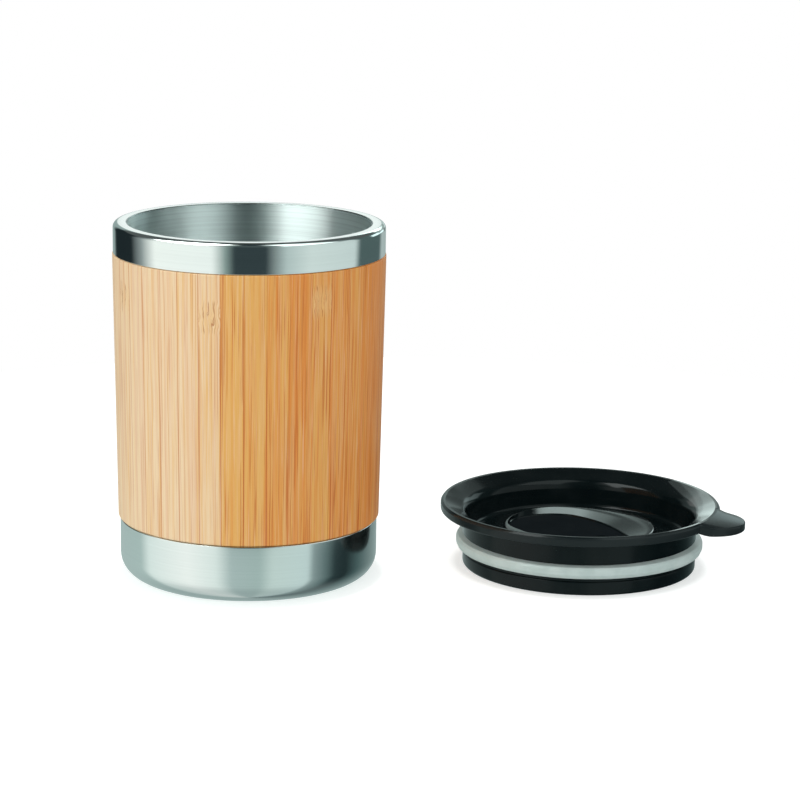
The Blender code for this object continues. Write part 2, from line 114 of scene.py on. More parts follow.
class Term:
    """A node's output that takes part in sums: each operation adds a Math node."""

    def __init__(self, shader: "Shader", output: Any) -> None:
        """Keep the shader and the output that this term stands for."""
        self.shader = shader
        self.output = output

    def _math(self, operation: str, *values: Value) -> "Term":
        """Add one Math node.

        Args:
            operation: The Math node's operation.
            values: What its sockets take, in order.

        Returns:
            The node's result.
        """
        return self.shader.node("ShaderNodeMath", {"operation": operation}, dict(enumerate(values)))

    def __add__(self, other: Value) -> "Term":
        """Give self + other."""
        return self._math("ADD", self, other)

    def __radd__(self, other: Value) -> "Term":
        """Give other + self."""
        return self._math("ADD", other, self)

    def __sub__(self, other: Value) -> "Term":
        """Give self - other."""
        return self._math("SUBTRACT", self, other)

    def __rsub__(self, other: Value) -> "Term":
        """Give other - self."""
        return self._math("SUBTRACT", other, self)

    def __mul__(self, other: Value) -> "Term":
        """Give self * other."""
        return self._math("MULTIPLY", self, other)

    def __rmul__(self, other: Value) -> "Term":
        """Give other * self."""
        return self._math("MULTIPLY", other, self)

    def __truediv__(self, other: Value) -> "Term":
        """Give self / other."""
        return self._math("DIVIDE", self, other)

    def __pow__(self, other: Value) -> "Term":
        """Give self to the power of other."""
        return self._math("POWER", self, other)

    def __abs__(self) -> "Term":
        """Give the size of self without its sign."""
        return self._math("ABSOLUTE", self)

    def turns(self) -> "Term":
        """Give how far self lies from the nearest whole number."""
        return self - self._math("ROUND", self)

    def larger(self, other: Value) -> "Term":
        """Give the larger of self and other."""
        return self._math("MAXIMUM", self, other)

    def angle(self, across: "Term") -> "Term":
        """Give the angle of the point (across, self), in radians."""
        return self._math("ARCTAN2", self, across)

    def rise(self, low: float, high: float, start: float = 0.0, end: float = 1.0) -> "Term":
        """Rise softly from start to end as self goes from low to high.

        Args:
            low: Where the rise begins.
            high: Where it ends.
            start: The value below low.
            end: The value above high.

        Returns:
            The risen value.
        """
        sockets = {"Value": self, "From Min": low, "From Max": high, "To Min": start, "To Max": end}
        return self.shader.node("ShaderNodeMapRange", {"interpolation_type": "SMOOTHSTEP"}, sockets)


class Shader:
    """A material under construction: adds nodes and hands their outputs on as terms."""

    def __init__(self, name: str, owner: Any = None) -> None:
        """Start an empty node tree.

        Args:
            name: The material's name.
            owner: A world to use in place of a new material.
        """
        self.owner = owner or bpy.data.materials.new(name)
        self.owner.use_nodes = True
        self.tree = self.owner.node_tree
        self.tree.nodes.clear()

    def node(
        self,
        kind: str,
        settings: Mapping[str, Any] | None = None,
        sockets: Mapping[int | str, Value] | None = None,
        output: int | str = 0,
    ) -> Term:
        """Add one node.

        Args:
            kind: The node's type.
            settings: Its settings, set first. "stops" fills a colour ramp.
            sockets: The values or links of its inputs.
            output: The output to hand on.

        Returns:
            That output as a term.
        """
        made = self.tree.nodes.new(kind)
        for key, setting in (settings or {}).items():
            if key == "stops":
                self._fill_ramp(made.color_ramp, setting)
            else:
                setattr(made, key, setting)
        for key, value in (sockets or {}).items():
            if isinstance(value, Term):
                self.tree.links.new(value.output, made.inputs[key])
            else:
                made.inputs[key].default_value = value
        return Term(self, made.outputs[output])

    @staticmethod
    def _fill_ramp(ramp: Any, stops: Sequence[tuple[float, Colour]]) -> None:
        """Give a colour ramp its stops.

        Args:
            ramp: The ramp.
            stops: Place and colour of each stop, in order.
        """
        while len(ramp.elements) < len(stops):
            ramp.elements.new(0.5)
        for element, (place, colour) in zip(ramp.elements, stops):
            element.position = place
            element.color = colour

    def mix(self, share: Value, first: Value, second: Value, way: str = "MIX") -> Term:
        """Blend two colours.

        Args:
            share: How much of the second shows.
            first: The colour underneath.
            second: The colour on top.
            way: The blend type.

        Returns:
            The blended colour.
        """
        settings = {"data_type": "RGBA", "blend_type": way}
        return self.node("ShaderNodeMix", settings, {0: share, 6: first, 7: second}, 2)

    def place(self) -> tuple[Term, Term, Term]:
        """Give x, y and z of the surface in its own object's space."""
        spot = self.node("ShaderNodeTexCoord", output="Object")
        return tuple(self.node("ShaderNodeSeparateXYZ", None, {0: spot}, axis) for axis in range(3))

    def vector(self, x: Value, y: Value, z: Value = 0.0) -> Term:
        """Join three numbers into a vector."""
        return self.node("ShaderNodeCombineXYZ", None, {0: x, 1: y, 2: z})

    def noise(self, spot: Term, fine: float, detail: float = 2.0, rough: float = 0.5) -> Term:
        """Add soft noise.

        Args:
            spot: Where it is read.
            fine: Its scale.
            detail: Octaves of finer noise.
            rough: How strong they are.

        Returns:
            The noise, 0 to 1 about 0.5.
        """
        sockets = {"Vector": spot, "Scale": fine, "Detail": detail, "Roughness": rough}
        return self.node("ShaderNodeTexNoise", None, sockets)

    def bump(self, height: Term, strength: float, depth: float) -> Term:
        """Turn a height into a bumped normal.

        Args:
            height: The height, 0 to 1.
            strength: How much of it shows.
            depth: The height of 1, in metres.

        Returns:
            The normal.
        """
        sockets = {"Strength": strength, "Distance": depth, "Height": height}
        return self.node("ShaderNodeBump", None, sockets)

    def surface(self, sockets: Mapping[int | str, Value]) -> Any:
        """Close the material with a Principled shader.

        Args:
            sockets: Its values and links.

        Returns:
            The material.
        """
        return self.close(self.node("ShaderNodeBsdfPrincipled", None, sockets))

    def close(self, shader: Term, kind: str = "ShaderNodeOutputMaterial") -> Any:
        """Link a shader to the output.

        Args:
            shader: The shader.
            kind: The output node's type.

        Returns:
            The material or world.
        """
        end = self.tree.nodes.new(kind)
        self.tree.links.new(shader.output, end.inputs["Surface"])
        return self.owner


@dataclass(frozen=True)
class TurnedSteel:
    """Steel finished on the lathe: fine lines that follow the turning, from polished to brushed."""

    name: str
    roughness: float
    spread: float
    stretch: float = 0.0
    shade: float = 0.97
    lines: float = 2600.0
    depth: float = 0.000002
    tint: Colour = (0.86, 0.89, 0.875, 1.0)

    def material(self) -> bpy.types.Material:
        """Make the material.

        Returns:
            The steel.
        """
        shader = Shader(self.name)
        x, y, z = shader.place()
        radius = (x * x + y * y) ** 0.5
        around = 14.0 / self.lines
        spot = shader.vector(radius + z * 0.11, z + x * around, y * around)
        coarse = shader.noise(spot, self.lines * 0.35, 3.0, 0.6)
        fine = shader.noise(spot, self.lines, 2.0, 0.6)
        brushed = coarse * 0.45 + fine * 0.55
        cloud = shader.noise(shader.vector(x, y, z), 38.0, 2.0)
        worn = tuple(channel * self.shade for channel in self.tint[:3]) + (1.0,)
        colour = shader.mix(brushed.rise(0.36, 0.62), worn, self.tint)
        rough = self.roughness + (brushed - 0.5) * self.spread + (cloud - 0.5) * self.spread * 0.5
        return shader.surface(
            {
                "Base Color": colour,
                "Metallic": 1.0,
                "Roughness": rough,
                "Anisotropic": self.stretch,
                "Anisotropic Rotation": 0.25,
                "Normal": shader.bump(brushed, 0.35, self.depth),
            }
        )


@dataclass(frozen=True)
class LacqueredBamboo:
    """Bamboo strips under a satin lacquer: upright fibres, darker bundles and a node here and there."""

    name: str = "lacquered_bamboo"
    pale: Colour = field(default_factory=lambda: srgb(237, 211, 173))
    golden: Colour = field(default_factory=lambda: srgb(227, 174, 96))
    amber: Colour = field(default_factory=lambda: srgb(221, 138, 60))
    pith: Colour = field(default_factory=lambda: srgb(240, 214, 172))
    rose: Colour = field(default_factory=lambda: srgb(226, 182, 148))
    fibre: Colour = field(default_factory=lambda: srgb(192, 102, 40))
    scar: Colour = field(default_factory=lambda: srgb(168, 88, 34))
    node_tan: Colour = field(default_factory=lambda: srgb(236, 202, 146))
    half_strip: float = 3.49
    node_reach: float = 6.5

    def material(self) -> bpy.types.Material:
        """Make the material, which reads the numbers that each stave carries on its mesh.

        Returns:
            The bamboo.
        """
        shader = Shader(self.name)
        across, seed, tone, node_z = (
            shader.node("ShaderNodeAttribute", {"attribute_name": key}, None, 2)
            for key in ("across", "seed", "tone", "node_z")
        )
        up = shader.place()[2] / MM
        zone = abs((up - node_z) / self.node_reach).rise(0.15, 1.0, 1.0, 0.0)
        wander = shader.noise(shader.vector(across * 0.5, up * 0.22, seed), 1.0, 2.0) - 0.5
        sway = shader.noise(shader.vector(across * 0.05, up * 0.02, seed + 40.0), 1.0, 1.0) - 0.5
        grain = across + sway * 0.7 + wander * (zone * 2.6 + 0.06)

        def threads(wide: float, tall: float, shift: float, detail: float = 1.0) -> Term:
            """Draw upright noise so many threads to the millimetre across and along the grain."""
            return shader.noise(shader.vector(grain * wide, up * tall, seed + shift), 1.0, detail, 0.6)

        streak, hair = threads(1.0, 0.012, 0.0, 2.0), threads(3.6, 0.030, 7.0, 2.0)
        lines, patches = threads(2.6, 0.020, 19.0), threads(0.5, 0.026, 31.0)
        edge = abs(across) / self.half_strip
        warmth = tone + (streak - 0.5) * 0.95 + (hair - 0.5) * 0.85
        colour = shader.mix(warmth.rise(0.0, 0.5), self.pale, self.golden)
        colour = shader.mix(warmth.rise(0.5, 1.0), colour, self.amber)
        blush = threads(0.8, 0.013, 61.0).rise(0.48, 0.66) * tone.rise(0.0, 0.7, 0.40, 0.15)
        colour = shader.mix(blush, colour, self.rose)
        colour = shader.mix(hair.rise(0.57, 0.66) * 0.42, colour, self.pith)
        thin = hair.rise(0.33, 0.42, 1.0, 0.0) * threads(0.7, 0.03, 83.0).rise(0.40, 0.56)
        colour = shader.mix(thin * (tone * 0.25 + 0.32), colour, self.fibre)
        bundle = lines.rise(0.565, 0.625) * (patches + edge.rise(0.5, 1.0) * 0.12).rise(0.40, 0.56)
        colour = shader.mix(bundle * (tone * 0.65 + 0.28), colour, self.fibre)
        colour = shader.mix(zone * 0.30, colour, self.node_tan)
        cracks = abs(threads(1.05, 0.05, 50.0, 0.0) - 0.5).rise(0.0, 0.05, 1.0, 0.0)
        cracks = cracks * zone.rise(0.06, 0.40) * threads(0.6, 0.12, 77.0).rise(0.36, 0.50)
        colour = shader.mix(cracks * 0.75, colour, self.scar)
        glued = shader.noise(shader.vector(seed * 1.7, up * 0.012), 1.0)
        seam = edge.rise(0.93, 0.985) * glued.rise(0.40, 0.56)
        colour = shader.mix(seam * (tone * 0.30 + 0.62), colour, self.fibre)
        height = hair * 0.5 + lines * 0.3 - bundle * 0.25 - cracks * 0.3 - seam * 0.4
        return shader.surface(
            {
                "Base Color": colour,
                "Roughness": 0.46 + (hair - 0.5) * 0.16 + bundle * 0.06,
                "Specular IOR Level": 0.36,
                "Normal": shader.bump(height, 0.28, 0.00008),
            }
        )


@dataclass(frozen=True)
class MouldedPlastic:
    """Black moulded plastic with a fine satin grain, with painted light on the outer edge of the flange.
    """

    name: str = "black_moulded_plastic"
    black: Colour = (0.0026, 0.0056, 0.0062, 1.0)
    bloom: Colour = (0.0050, 0.0085, 0.0092, 1.0)
    # painted light: a lighter colour laid on the flange's outer edge, from the radius rim outwards,
    # where that rounded edge catches the light
    painted_rim_light: Colour = (0.0130, 0.0185, 0.0195, 1.0)
    rim: float = 44.3
    roughness: float = 0.11
    gloss: float = 0.18

    def material(self) -> bpy.types.Material:
        """Make the material.

        Returns:
            The plastic.
        """
        shader = Shader(self.name)
        x, y, z = shader.place()
        spot = shader.vector(x, y, z)
        grain = shader.noise(spot, 3200.0, 1.0)
        cloud = shader.noise(spot, 90.0, 3.0, 0.6)
        # mask of the flange's outer edge, which takes the painted light and a slightly rougher finish
        rim_light_mask = ((x * x + y * y) ** 0.5 / MM).rise(self.rim, self.rim + 0.4)
        colour = shader.mix(cloud.rise(0.35, 0.7), self.black, self.bloom)
        rough = self.roughness + (cloud - 0.5) * 0.06 + (grain - 0.5) * 0.04
        return shader.surface(
            {
                "Base Color": shader.mix(rim_light_mask, colour, self.painted_rim_light),
                "Roughness": rough + rim_light_mask * 0.06,
                "Specular IOR Level": self.gloss,
                "Normal": shader.bump(grain, 0.12, 0.00002),
            }
        )


@dataclass(frozen=True)
class PaleSilicone:
    """Milky silicone that lets some light in."""

    name: str = "milky_silicone"
    milk: Colour = field(default_factory=lambda: srgb(196, 211, 208))
    haze: Colour = field(default_factory=lambda: srgb(182, 199, 196))

    def material(self) -> bpy.types.Material:
        """Make the material.

        Returns:
            The silicone.
        """
        shader = Shader(self.name)
        spot = shader.vector(*shader.place())
        cloud = shader.noise(spot, 160.0, 3.0, 0.6)
        grain = shader.noise(spot, 2400.0, 1.0)
        return shader.surface(
            {
                "Base Color": shader.mix(cloud.rise(0.3, 0.7), self.haze, self.milk),
                "Roughness": 0.36 + (cloud - 0.5) * 0.12,
                "Subsurface Weight": 0.35,
                "Subsurface Radius": (0.0025, 0.0026, 0.0026),
                "Subsurface Scale": 1.0,
                "Normal": shader.bump(grain, 0.10, 0.00002),
            }
        )


@dataclass(frozen=True)
class Finishes:
    """Every finish of the part, made once and shared by its pieces."""

    band_steel: bpy.types.Material
    bore_steel: bpy.types.Material
    shaded_lip_steel: bpy.types.Material
    base_steel: bpy.types.Material
    bamboo: bpy.types.Material
    plastic: bpy.types.Material
    matt_plastic: bpy.types.Material
    silicone: bpy.types.Material

    @classmethod
    def make(cls) -> "Finishes":
        """Make all the materials."""
        bore = TurnedSteel(
            "brushed_bore_steel", 0.44, 0.12, 1.0, 0.86, depth=0.000014, tint=(0.90, 0.965, 0.955, 1.0)
        )
        matt = MouldedPlastic(
            "matt_moulded_plastic",
            black=(0.0088, 0.0125, 0.0145, 1.0),
            bloom=(0.0108, 0.0150, 0.0170, 1.0),
            roughness=0.5,
            gloss=0.0,
        )
        finishes = (
            TurnedSteel("polished_rim_steel", 0.09, 0.02),
            bore,
            # the lip's steel is painted dark: painted shade for the dark line along the rim's inner lip
            TurnedSteel("painted_dark_steel_lip", 0.24, 0.06, tint=(0.34, 0.38, 0.375, 1.0)),
            TurnedSteel("satin_base_steel", 0.13, 0.03),
            LacqueredBamboo(),
            MouldedPlastic(),
            matt,
            PaleSilicone(),
        )
        return cls(*(finish.material() for finish in finishes))


def rounded(corners: Sequence[Triple], steps: int = 6, closed: bool = False) -> list[Point]:
    """Round the corners of a section, with the same number of points for each corner's radius.

    Args:
        corners: Radius, height and rounding of each corner.
        steps: Spans in each rounding.
        closed: Whether the last corner joins the first.

    Returns:
        The points of the section.
    """
    points: list[Point] = []
    last = len(corners) - 1
    for index, (r, z, rounding) in enumerate(corners):
        if rounding <= 0 or (not closed and index in (0, last)):
            points.append((r, z))
            continue
        here = Vector((r, z))
        back = Vector(corners[index - 1][:2]) - here
        ahead = Vector(corners[(index + 1) % len(corners)][:2]) - here
        back_way, ahead_way = back.normalized(), ahead.normalized()
        half = math.acos(max(-1.0, min(1.0, back_way.dot(ahead_way)))) / 2
        reach = rounding / math.tan(half) if half > STRAIGHT else 0.0
        reach = min(reach, back.length * 0.98, ahead.length * 0.98)
        start, end = here + back_way * reach, here + ahead_way * reach
        inward = (back_way + ahead_way).normalized()
        middle = here + inward * math.hypot(reach, reach * math.tan(half))
        sweep = math.pi - 2 * half
        for step in range(steps + 1):
            share = step / steps
            if sweep <= 2 * STRAIGHT:
                spot = start.lerp(end, share)
            else:
                turn = sweep * share
                arms = (start - middle) * math.sin(sweep - turn) + (end - middle) * math.sin(turn)
                spot = middle + arms / math.sin(sweep)
            points.append((spot.x, spot.y))
    return points


def new_object(name: str, shape: bmesh.types.BMesh, sharp: float = CRISP) -> bpy.types.Object:
    """Turn a built mesh into a smooth-shaded object in the scene.

    Args:
        name: The object's name.
        shape: The mesh, freed here.
        sharp: Edges that bend more than this many degrees stay crisp.

    Returns:
        The object.
    """
    bmesh.ops.remove_doubles(shape, verts=shape.verts, dist=WELD)
    bmesh.ops.recalc_face_normals(shape, faces=shape.faces)
    mesh = bpy.data.meshes.new(name)
    shape.to_mesh(mesh)
    shape.free()
    finish_shading(mesh, sharp)
    made = bpy.data.objects.new(name, mesh)
    bpy.context.scene.collection.objects.link(made)
    return made


def finish_shading(mesh: bpy.types.Mesh, sharp: float = CRISP) -> None:
    """Shade a mesh smooth with crisp edges where it bends sharply."""
    mesh.polygons.foreach_set("use_smooth", [True] * len(mesh.polygons))
    mesh.set_sharp_from_angle(angle=math.radians(sharp))


def skin(
    shape: bmesh.types.BMesh, rings: Sequence[Sequence[Vector]], closed: bool = False
) -> list[list[bmesh.types.BMVert]]:
    """Skin closed rings of equal length.

    Args:
        shape: The mesh in the making.
        rings: The rings in order, in millimetres. A ring on the axis closes to a point.
        closed: Whether the last ring joins the first.

    Returns:
        The corners of each ring.
    """
    layers = [[shape.verts.new(spot * MM) for spot in ring] for ring in rings]
    pairs = list(zip(layers, layers[1:])) + ([(layers[-1], layers[0])] if closed else [])
    for low, high in pairs:
        for corners in zip(low, low[1:] + low[:1], high[1:] + high[:1], high):
            shape.faces.new(corners)
    return layers


def loft(name: str, rings: Sequence[Sequence[Vector]], closed: bool = False) -> bpy.types.Object:
    """Make an object of a skin over rings.

    Args:
        name: The object's name.
        rings: The rings in order, in millimetres.
        closed: Whether the last ring joins the first.

    Returns:
        The object.
    """
    shape = bmesh.new()
    skin(shape, rings, closed)
    return new_object(name, shape)


def swung(section: Sequence[Point], angle: float) -> list[Vector]:
    """Stand a section on the axis and swing it to an angle in radians."""
    x, y = math.cos(angle), math.sin(angle)
    return [Vector((r * x, r * y, z)) for r, z in section]


def hoops(section: Sequence[Point], angles: Sequence[float]) -> list[list[Vector]]:
    """Give a ring for each point of a section, with a corner at each angle in radians."""
    return [[Vector((r * math.cos(a), r * math.sin(a), z)) for a in angles] for r, z in section]


def turned(name: str, section: Sequence[Point], closed: bool, spans: int = 192) -> bpy.types.Object:
    """Turn a section about the upright axis.

    Args:
        name: The object's name.
        section: Radius and height of each point.
        closed: Whether the section is a loop clear of the axis.
        spans: Spans round the axis.

    Returns:
        The object.
    """
    return loft(name, hoops(section, [TURN * i / spans for i in range(spans)]), closed)


def prism(outline: Sequence[Point], low: float, high: float) -> bpy.types.Object:
    """Make an upright block on an outline, as a cutter or a boss.

    Args:
        outline: The outline's points.
        low: Its lower height.
        high: Its upper height.

    Returns:
        The block.
    """
    shape = bmesh.new()
    floor = shape.faces.new([shape.verts.new((x * MM, y * MM, low * MM)) for x, y in outline])
    grown = bmesh.ops.extrude_face_region(shape, geom=[floor])["geom"]
    lifted = [item for item in grown if isinstance(item, bmesh.types.BMVert)]
    bmesh.ops.translate(shape, verts=lifted, vec=(0, 0, (high - low) * MM))
    return new_object("block", shape)


def carve(target: bpy.types.Object, tool: bpy.types.Object, operation: str = "DIFFERENCE") -> None:
    """Join or cut a piece with a block, which is used up.

    Args:
        target: The piece.
        tool: The block.
        operation: The Boolean's operation.
    """
    step = target.modifiers.new("carve", "BOOLEAN")
    step.object, step.operation, step.solver = tool, operation, "EXACT"
    graph = bpy.context.evaluated_depsgraph_get()
    result = bpy.data.meshes.new_from_object(target.evaluated_get(graph))
    target.modifiers.remove(step)
    spent = target.data
    target.data = result
    result.name = spent.name
    bpy.data.meshes.remove(spent)
    block = tool.data
    bpy.data.objects.remove(tool)
    bpy.data.meshes.remove(block)
    finish_shading(target.data)


@dataclass(frozen=True)
class Opening:
    """A slot with round ends."""

    centre: Point
    length: float
    width: float
    angle: float = 0.0
    spans: int = 20

    def outline(self, wall: float = 0.0) -> list[Point]:
        """Outline the slot.

        Args:
            wall: How far outside its edge the outline runs.

        Returns:
            The outline, anticlockwise.
        """
        radius, run = self.width / 2 + wall, (self.length - self.width) / 2
        way = Matrix.Rotation(math.radians(self.angle), 2)
        points = []
        for side in (1, -1):
            for step in range(self.spans + 1):
                swing = math.pi * (step / self.spans - 0.5) + (0 if side > 0 else math.pi)
                spot = way @ Vector((side * run + radius * math.cos(swing), radius * math.sin(swing)))
                points.append((self.centre[0] + spot.x, self.centre[1] + spot.y))
        return points


DRINK_HOLE = Opening((-13.242, -6.869), 10.0, 6.4, -133.0)


def stand_by_cup(piece: bpy.types.Object) -> None:
    """Move a piece of the lid from the origin to the lid's axis."""
    piece.location.x = LID_X * MM
    bpy.context.view_layer.update()


def dress(
    piece: bpy.types.Object, finish: bpy.types.Material, body: Body, slot: Slot, *nodes: str
) -> None:
    """Give a piece its finish and its body, and hide the nodes that it stands for.

    Args:
        piece: The piece, in place.
        finish: Its material.
        body: The body that carries it.
        slot: Not used.
        nodes: The CAD nodes that it replaces.
    """
    piece.data.materials.clear()
    piece.data.materials.append(finish)
    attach(piece, body.value)
    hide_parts(*nodes)
    log.info("%s on %s: %d faces", piece.name, body.value, len(piece.data.polygons))


@dataclass
class SteelLiner:
    """The spun inner cup, with its rolled rim and the band that hangs outside it."""

    height: float = 112.2
    mouth: float = 37.91
    band: float = 42.25
    band_end: float = 102.8
    steel: float = 0.5
    floor: float = 7.96
    floor_radius: float = 36.16
    floor_corner: float = 7.0
    shoulder: float = 1.6
    lip: float = 0.35
    bore_edge: float = 0.05
    spans: int = 256

    def section(self) -> list[Triple]:
        """Give the corners from the axis over the rim and back inside the wall."""
        high, wall = self.height, self.steel
        return [
            (0.0, self.floor, 0),
            (self.floor_radius, self.floor, self.floor_corner),
            (self.mouth, high, self.lip),
            (self.band, high, self.shoulder),
            (self.band, self.band_end, 0.15),
            (self.band - wall, self.band_end, 0.15),
            (self.band - wall, high - wall, self.shoulder - wall),
            (self.mouth + wall, high - wall, 0.2),
            (self.floor_radius + wall, self.floor - wall, self.floor_corner + wall),
            (0.0, self.floor - wall, 0),
        ]

    def build(self, finishes: Finishes) -> None:
        """Turn the liner and dress its bore and its band.

        Args:
            finishes: The part's finishes.
        """
        liner = turned("liner_with_rim", rounded(self.section(), 10), False, self.spans)
        dress(liner, finishes.band_steel, Body.CUP, Slot.STEEL, "inner_liner")
        # the inner lip's faces take the steel that is painted dark, as painted shade along the rim
        liner.data.materials.append(finishes.shaded_lip_steel)
        liner.data.materials.append(finishes.bore_steel)
        bore, lip = self.mouth - self.bore_edge, self.mouth + self.lip
        for face in liner.data.polygons:
            radius = math.hypot(face.center.x, face.center.y) / MM
            face.material_index = int(radius < lip) + int(radius < bore)


@dataclass
class SteelBase:
    """The base cap that closes the cup below the sleeve, with a pressed ring underneath."""

    radius: float = 40.5
    height: float = 18.9
    wall: float = 0.6
    tongue: float = 38.85
    tongue_drop: float = 0.6
    corner: float = 7.3
    shoulder: float = 0.4
    bead: tuple[float, float, float, float] = (13.0, 14.2, 20.8, 22.0)
    bead_depth: float = 0.9
    bead_round: float = 0.5
    spans: int = 256

    def section(self) -> list[Triple]:
        """Give the corners from the axis inside, over the wall and back underneath."""
        a, b, c, d = self.bead
        step = self.height - self.tongue_drop
        inner = self.radius - self.wall
        up, bend = self.bead_depth, self.bead_round
        return [
            (0.0, self.wall, 0),
            (a, self.wall, bend),
            (b, self.wall + up, bend),
            (c, self.wall + up, bend),
            (d, self.wall, bend),
            (inner, self.wall, self.corner - self.wall),
            (inner, step, 0),
            (self.tongue, step, 0),
            (self.tongue, self.height, 0),
            (self.radius, self.height, self.shoulder),
            (self.radius, 0.0, self.corner),
            (d, 0.0, bend),
            (c, up, bend),
            (b, up, bend),
            (a, 0.0, bend),
            (0.0, 0.0, 0),
        ]

    def build(self, finishes: Finishes) -> None:
        """Turn and dress the base.

        Args:
            finishes: The part's finishes.
        """
        base = turned("base_cup", rounded(self.section(), 10), False, self.spans)
        dress(base, finishes.base_steel, Body.CUP, Slot.STEEL, "base_cap")


@dataclass
class BambooSleeve:
    """The sleeve of upright staves, each its own piece with its own grain."""

    count: int = 38
    first_joint: float = 7.6
    top: float = 102.6
    bottom: float = 19.1
    top_radius: float = 42.5
    bottom_radius: float = 41.1
    wall: float = 2.25
    top_round: float = 0.35
    bottom_round: float = 0.7
    inner_round: float = 0.15
    glue_line: float = 0.02
    spans: int = 8
    crisp: float = 40.0
    pale_side: float = 175.0
    mean_tone: float = 0.50
    tone_swing: float = 0.40
    tone_spread: float = 0.12
    seed: int = 11
    last_seed: float = 90.0
    no_node: float = -99.0
    nodes: Mapping[int, float] = field(
        default_factory=lambda: {21: 91.6, 26: 89.7, 31: 93.9, 6: 47.0, 13: 70.0}
    )
    tones: Mapping[int, float] = field(
        default_factory=lambda: {
            19: 0.05, 20: 0.05, 21: 0.10, 22: 0.04, 23: 0.12, 24: 0.08, 25: 0.13, 26: 0.21, 27: 0.52,
            28: 0.60, 29: 0.76, 30: 0.86, 31: 0.70, 32: 0.80, 33: 0.80, 34: 0.94, 35: 0.98, 36: 0.96,
        }
    )

    def section(self) -> list[Point]:
        """Give the points of a stave's section, from the outside of its top round to the inside."""
        low, high, wall = self.bottom, self.top, self.wall
        corners = [
            (self.top_radius, high, self.top_round),
            (self.bottom_radius, low, self.bottom_round),
            (self.bottom_radius - wall, low, self.inner_round),
            (self.top_radius - wall, high, self.inner_round),
        ]
        return rounded(corners, closed=True)

    def middle(self, number: int) -> float:
        """Give the angle of a stave's middle, in radians."""
        return math.radians(self.first_joint) + TURN / self.count * (number - 0.5)

    def stave(self, number: int) -> bpy.types.Object:
        """Build one stave.

        Args:
            number: Its place round the sleeve, from 1.

        Returns:
            The stave.
        """
        half = TURN / self.count / 2 - self.glue_line / 2 / self.bottom_radius
        section, middle = self.section(), self.middle(number)
        swings = (half * (2 * span / self.spans - 1) for span in range(self.spans + 1))
        shape = bmesh.new()
        layers = skin(shape, [swung(section, middle + swing) for swing in swings])
        shape.faces.new(layers[0])
        shape.faces.new(layers[-1])
        return new_object(f"stave_{number:02d}", shape, self.crisp)

    def carry_numbers(self, stave: bpy.types.Object, number: int, draw: random.Random) -> None:
        """Write on a stave's mesh what its grain is drawn from.

        Args:
            stave: The stave.
            number: Its place round the sleeve.
            draw: The sleeve's random draws.
        """
        middle = self.middle(number)
        side = math.cos(middle - math.radians(self.pale_side))
        drawn = draw.uniform(-self.tone_spread, self.tone_spread)
        tone = self.tones.get(number, self.mean_tone - self.tone_swing * side + drawn)
        mesh = stave.data
        turns = [math.atan2(v.co.y, v.co.x) - middle for v in mesh.vertices]
        numbers = {
            "across": [self.top_radius * math.remainder(turn, TURN) for turn in turns],
            "seed": draw.uniform(0.0, self.last_seed),
            "tone": tone,
            "node_z": self.nodes.get(number, self.no_node),
        }
        for key, value in numbers.items():
            held = mesh.attributes.new(key, "FLOAT", "POINT")
            values = value if isinstance(value, list) else [value] * len(mesh.vertices)
            held.data.foreach_set("value", values)

    def build(self, finishes: Finishes) -> None:
        """Build and dress every stave.

        Args:
            finishes: The part's finishes.
        """
        draw = random.Random(self.seed)
        for number in range(1, self.count + 1):
            stave = self.stave(number)
            self.carry_numbers(stave, number, draw)
            node = f"bamboo_stave_{number:02d}"
            dress(stave, finishes.bamboo, Body.CUP, Slot.BAMBOO, node)


@dataclass
class LiftTab:
    """The half-round tongue at the lid's edge."""

    angle: float = -30.0
    radius: float = 10.6
    centre: float = 43.95
    top: float = 19.5
    bottom: float = 16.8
    root_round: float = 2.2
    half_swing: float = 0.5

    def reach(self, angle: float, flange: float) -> float:
        """Give how far the lid's edge stands out in one direction.

        Args:
            angle: The direction, in degrees.
            flange: The flange's own radius.

        Returns:
            The radius of the edge there.
        """
        off = math.radians(math.remainder(angle - self.angle, 360.0))
        side = self.centre * math.sin(off)
        if abs(off) > self.half_swing or abs(side) > self.radius:
            tongue = flange - 2 * self.root_round
        else:
            tongue = self.centre * math.cos(off) + math.sqrt(self.radius**2 - side * side)
        near = max(self.root_round - abs(tongue - flange), 0.0) / self.root_round
        return max(tongue, flange) + near * near * self.root_round / 4


